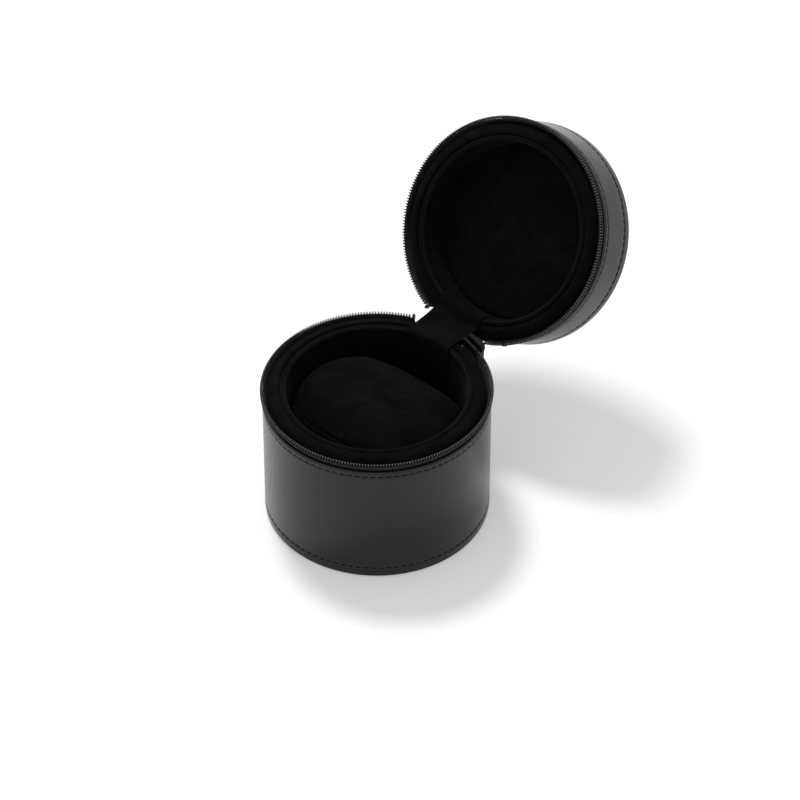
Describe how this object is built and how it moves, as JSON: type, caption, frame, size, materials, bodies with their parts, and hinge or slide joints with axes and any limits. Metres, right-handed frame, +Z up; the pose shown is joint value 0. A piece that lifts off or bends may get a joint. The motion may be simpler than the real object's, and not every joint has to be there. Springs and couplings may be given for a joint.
{
  "type": "watch travel case",
  "caption": "Round zipped travel case for one watch: black leather outside, padded velvet inside, a loose watch cushion, lid on a flexible hinge strip.",
  "frame": {"origin": "Centre of the base's round underside, on the table", "axes": "+Z up along the base's axis, -Y front (the zip's far side), +Y back (the hinge strip), +X to the right seen from the front"},
  "size_m": [0.1, 0.1836, 0.1395],
  "materials": {
    "smooth_leather": "smooth, semi-gloss",
    "board": "raw fibre board",
    "foam": "open-cell foam",
    "velvet": "short-pile velvet",
    "piping": "velvet over cord",
    "zip_tape": "woven tape",
    "nylon_coil": "glossy moulded coil",
    "thread": "waxed thread",
    "dark_metal": "black gloss paint"
  },
  "bodies": {
    "base": {"base_wall_leather": "smooth_leather", "base_bottom_leather": "smooth_leather", "base_wall_board": "board", "base_floor_board": "board", "base_wall_foam": "foam", "base_floor_foam": "foam", "base_wall_lining": "velvet", "base_floor_lining": "velvet", "base_rim_welt": "piping", "base_zip_tape": "zip_tape", "base_zip_coil": "nylon_coil", "base_zip_stops": "dark_metal", "base_rim_stitches": "thread", "base_foot_stitches": "thread", "insert_block": "foam", "insert_cover": "velvet", "hinge_strip": "smooth_leather", "hinge_lining": "velvet"},
    "lid": {"lid_wall_leather": "smooth_leather", "lid_top_leather": "smooth_leather", "lid_wall_board": "board", "lid_top_board": "board", "lid_wall_foam": "foam", "lid_ceiling_foam": "foam", "lid_wall_lining": "velvet", "lid_ceiling_lining": "velvet", "lid_rim_welt": "piping", "lid_zip_tape": "zip_tape", "lid_zip_coil": "nylon_coil", "lid_zip_stops": "dark_metal", "lid_rim_stitches": "thread", "lid_top_stitches": "thread"},
    "pillow": {"pillow_core": "foam", "pillow_cover": "velvet"},
    "slider": {"zip_slider": "dark_metal"},
    "pull": {"zip_pull": "dark_metal"}
  },
  "joints": [
    {"name": "lid_hinge", "type": "hinge", "parent": "base", "child": "lid", "pos_m": [0, 0.0503, 0.0603], "axis": [1, 0, 0], "range_deg": [-35.3, 124.7], "deforming": ["hinge_strip", "hinge_lining"]},
    {"name": "slider_travel", "type": "hinge", "parent": "base", "child": "slider", "pos_m": [0, 0, 0.0657], "axis": [0, 0, 1], "range_deg": [-311, 0]},
    {"name": "pull_swing", "type": "hinge", "parent": "slider", "child": "pull", "pos_m": [0.01778, 0.0489, 0.0657], "axis": [0.309, 0.9511, 0], "range_deg": [-85, 30]},
    {"name": "pillow_lift", "type": "slide", "parent": "base", "child": "pillow", "axis": [0, 0, 1], "range_m": [0, 0.018]}
  ]
}
